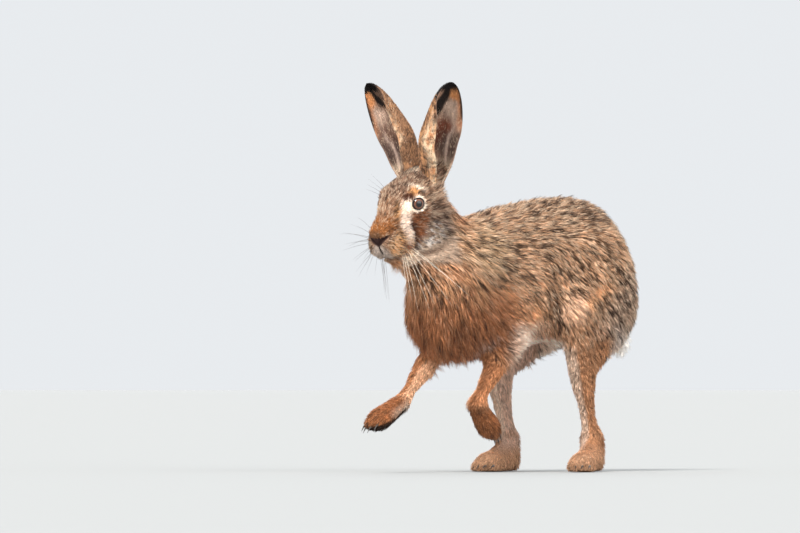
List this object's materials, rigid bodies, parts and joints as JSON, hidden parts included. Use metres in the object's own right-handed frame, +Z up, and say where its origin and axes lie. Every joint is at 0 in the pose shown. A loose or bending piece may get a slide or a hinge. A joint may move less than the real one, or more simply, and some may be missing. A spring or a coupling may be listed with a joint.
{
  "type": "brown hare",
  "caption": "Life-size still model of a hare in mid-stride on its hind feet, forefeet lifted, ears upright and coat parted into tufts.",
  "frame": {"origin": "middle of the hare's bounding box, on the floor that its hind feet rest on", "axes": "+Z up, the hare heads along -Y and its left side is +X"},
  "size_m": [0.1948, 0.4794, 0.4637],
  "materials": {
    "coat": "long ticked fur, grey-brown over the back and buff on the flanks",
    "breast": "long rufous fur",
    "ear": "short fur, dark outside with a black tip and a buff fringe",
    "paw": "short dense brown fur, darker on the sole",
    "tail": "white fur below, black above",
    "claw": "smooth dark horn",
    "eye": "wet amber-brown eye with a dark pupil"
  },
  "bodies": {
    "root": {"head": "coat", "trunk": "coat", "neck": "breast", "tail": "tail", "forearm_left": "breast", "forepaw_left": "paw", "thigh_left": "coat", "shank_left": "coat", "hindfoot_left": "coat", "ear_left": "ear", "eye_left": "eye", "forearm_right": "breast", "forepaw_right": "paw", "thigh_right": "coat", "shank_right": "coat", "hindfoot_right": "coat", "ear_right": "ear", "eye_right": "eye", "claw_forepaw_left_1": "claw", "claw_forepaw_left_2": "claw", "claw_forepaw_left_3": "claw", "claw_forepaw_left_4": "claw", "claw_hindfoot_left_1": "claw", "claw_hindfoot_left_2": "claw", "claw_hindfoot_left_3": "claw", "claw_hindfoot_left_4": "claw", "claw_forepaw_right_1": "claw", "claw_forepaw_right_2": "claw", "claw_forepaw_right_3": "claw", "claw_forepaw_right_4": "claw", "claw_hindfoot_right_1": "claw", "claw_hindfoot_right_2": "claw", "claw_hindfoot_right_3": "claw", "claw_hindfoot_right_4": "claw"}
  },
  "joints": []
}
